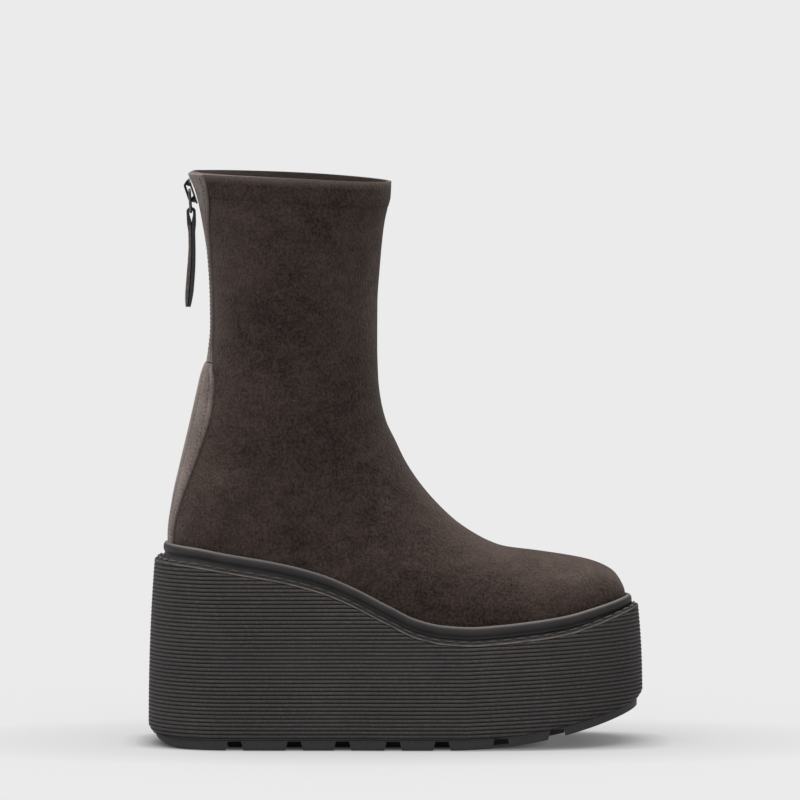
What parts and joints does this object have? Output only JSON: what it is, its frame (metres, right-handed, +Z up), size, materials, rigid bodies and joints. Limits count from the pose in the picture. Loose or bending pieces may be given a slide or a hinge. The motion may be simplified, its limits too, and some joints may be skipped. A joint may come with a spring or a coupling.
{
  "type": "platform ankle boot",
  "caption": "Right-foot sock ankle boot with a zipped back, a hollow suede upper and a ribbed wedge platform on a lugged outsole.",
  "frame": {"origin": "middle of the sole's box, on the floor", "axes": "+X from the heel to the toe, +Y to the inner (medial) side of a right foot, +Z up from the floor to the collar"},
  "size_m": [0.2663, 0.102, 0.3092],
  "materials": {
    "suede": "napped dark brown suede",
    "taupe_leather": "soft matte taupe leather",
    "zip_tape": "black woven tape with a nylon coil",
    "dark_metal": "black lacquered metal",
    "pull_leather": "black smooth leather",
    "lining": "dark smooth lining leather",
    "welt_rubber": "satin black-brown rubber",
    "sole_foam": "matte dark grey-brown moulded foam rubber",
    "tread_rubber": "matte black rubber"
  },
  "bodies": {
    "boot": {"upper": "suede", "heel_counter": "taupe_leather", "zip_facing_lateral": "taupe_leather", "zip_facing_medial": "taupe_leather", "zip_chain": "zip_tape", "zip_slider": "dark_metal", "insole": "lining", "welt": "welt_rubber", "midsole": "sole_foam", "outsole": "tread_rubber"},
    "pull": {"pull_link": "dark_metal", "pull_tab": "pull_leather"}
  },
  "joints": [
    {"name": "pull_swing", "type": "hinge", "parent": "boot", "child": "pull", "pos_m": [-0.11174, -0.006, 0.29889], "axis": [0, 1, 0], "range_deg": [-7, 150]}
  ]
}
